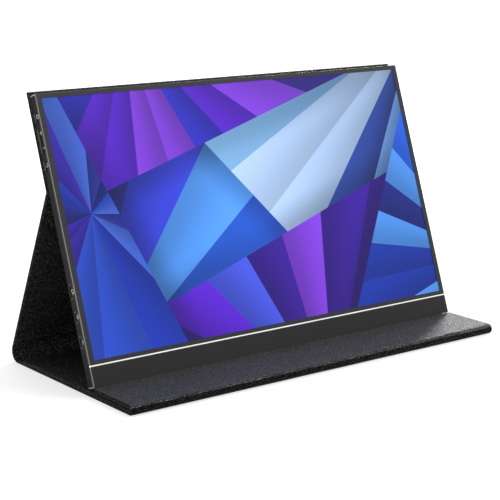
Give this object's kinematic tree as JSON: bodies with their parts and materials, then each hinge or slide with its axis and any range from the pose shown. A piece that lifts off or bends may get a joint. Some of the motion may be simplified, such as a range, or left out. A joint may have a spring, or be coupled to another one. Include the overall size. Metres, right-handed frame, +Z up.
{
  "type": "portable monitor",
  "caption": "Slim portable monitor leaning on a folded leather folio cover, with a fold-out ledge, side buttons and side sockets",
  "frame": {"origin": "on the table, in the middle of the object's width and depth", "axes": "+X to the right of the screen, -Y towards the viewer, +Z up"},
  "size_m": [0.355, 0.1695, 0.2121],
  "materials": {
    "cover_leather": "fine pebble grain, satin",
    "cover_lining": "fine pebble grain, dull",
    "cover_board": "pressed grey board",
    "magnet": "nickel plated",
    "frame_plastic": "fine matte texture",
    "chin_plastic": "smooth matte",
    "silver_trim": "bright satin",
    "tape": "black foam tape",
    "screen": "lit picture, low sheen",
    "film": "frosted diffuser film",
    "light_guide": "clear acrylic sheet",
    "reflector": "white",
    "led_bar": "white strip with yellow lamps",
    "tray_steel": "zinc plated sheet",
    "circuit_board": "green solder mask",
    "rear_plastic": "fine matte texture",
    "standoff_brass": "turned",
    "screw_steel": "black zinc",
    "film_black": "black insulating film",
    "chip_plastic": "moulded black",
    "shield_steel": "tinned sheet",
    "socket_steel": "drawn shell",
    "socket_plastic": "moulded black",
    "ribbon": "amber film",
    "button_plastic": "fine matte",
    "speaker_plastic": "moulded black",
    "gasket_foam": "closed foam",
    "wire_plastic": "red sheath",
    "foot_rubber": "matte black"
  },
  "bodies": {
    "base": {"base_skin": "cover_leather", "base_board": "cover_board", "base_lining": "cover_lining", "front_fold_strip": "cover_leather", "spine_leather": "cover_leather"},
    "ledge": {"ledge_skin": "cover_leather", "ledge_board": "cover_board", "ledge_lining": "cover_lining"},
    "rear_panel": {"rear_panel_skin": "cover_leather", "rear_panel_board": "cover_board", "rear_panel_lining": "cover_lining", "back_fold_strip": "cover_leather"},
    "flap": {"flap_skin": "cover_leather", "flap_board": "cover_board", "flap_lining": "cover_lining", "flap_magnets": "magnet"},
    "monitor": {"rear_cover": "rear_plastic", "front_frame": "frame_plastic", "chin_cover": "chin_plastic", "accent_strip": "silver_trim", "panel_tape": "tape", "lcd_panel": "screen", "optical_films": "film", "light_guide_plate": "light_guide", "reflector_sheet": "reflector", "led_bar": "led_bar", "backlight_tray": "tray_steel", "panel_driver_board": "circuit_board", "tray_standoffs": "standoff_brass", "housing_screws": "screw_steel", "insulator_sheet": "film_black", "main_board": "circuit_board", "board_screws": "screw_steel", "board_chips": "chip_plastic", "shield_can": "shield_steel", "usb_c_port_upper": "socket_steel", "usb_c_port_lower": "socket_steel", "mini_video_port": "socket_steel", "port_tongues": "socket_plastic", "display_ribbon_cable": "ribbon", "button_board": "circuit_board", "tact_switches": "chip_plastic", "button_flex_cable": "ribbon", "button_bracket": "chip_plastic", "speaker_left": "speaker_plastic", "speaker_right": "speaker_plastic", "speaker_gaskets": "gasket_foam", "speaker_wires": "wire_plastic", "catch_plates": "tray_steel", "foot_pads": "foot_rubber"},
    "power_button": {"power_button": "button_plastic"},
    "menu_rocker": {"menu_rocker": "button_plastic"},
    "back_button": {"back_button": "button_plastic"}
  },
  "joints": [
    {"name": "back_fold", "type": "hinge", "parent": "rear_panel", "child": "flap", "pos_m": [0, 0.02881, 0.14151], "axis": [1, 0, 0], "range_deg": [0, 43.9], "deforming": ["back_fold_strip"]},
    {"name": "rear_fold", "type": "hinge", "parent": "base", "child": "rear_panel", "pos_m": [0, 0.07626, 0.0085], "axis": [-1, 0, 0], "range_deg": [0, 114.1], "deforming": ["spine_leather"]},
    {"name": "ledge_fold", "type": "hinge", "parent": "base", "child": "ledge", "pos_m": [0, -0.08081, 0.00395], "axis": [1, 0, 0], "range_deg": [0, 180], "deforming": ["front_fold_strip"]},
    {"name": "magnet_release", "type": "slide", "parent": "flap", "child": "monitor", "axis": [0, -0.6428, 0.766], "range_m": [0, 0.03]},
    {"name": "power_push", "type": "slide", "parent": "monitor", "child": "power_button", "axis": [1, 0, 0], "range_m": [0, 0.00035], "stiffness_N_per_m": 1800, "springref_m": -0.0004},
    {"name": "back_push", "type": "slide", "parent": "monitor", "child": "back_button", "axis": [1, 0, 0], "range_m": [0, 0.00035], "stiffness_N_per_m": 1800, "springref_m": -0.0004},
    {"name": "menu_rock", "type": "hinge", "parent": "monitor", "child": "menu_rocker", "pos_m": [-0.17408, 0.03326, 0.17763], "axis": [0, 0.9409, -0.3387], "range_deg": [-1.5, 1.5], "stiffness_Nm_per_rad": 0.3}
  ],
  "couplings": [
    {"joint": "rear_fold", "follows": "back_fold", "ratio": 2.5991}
  ]
}
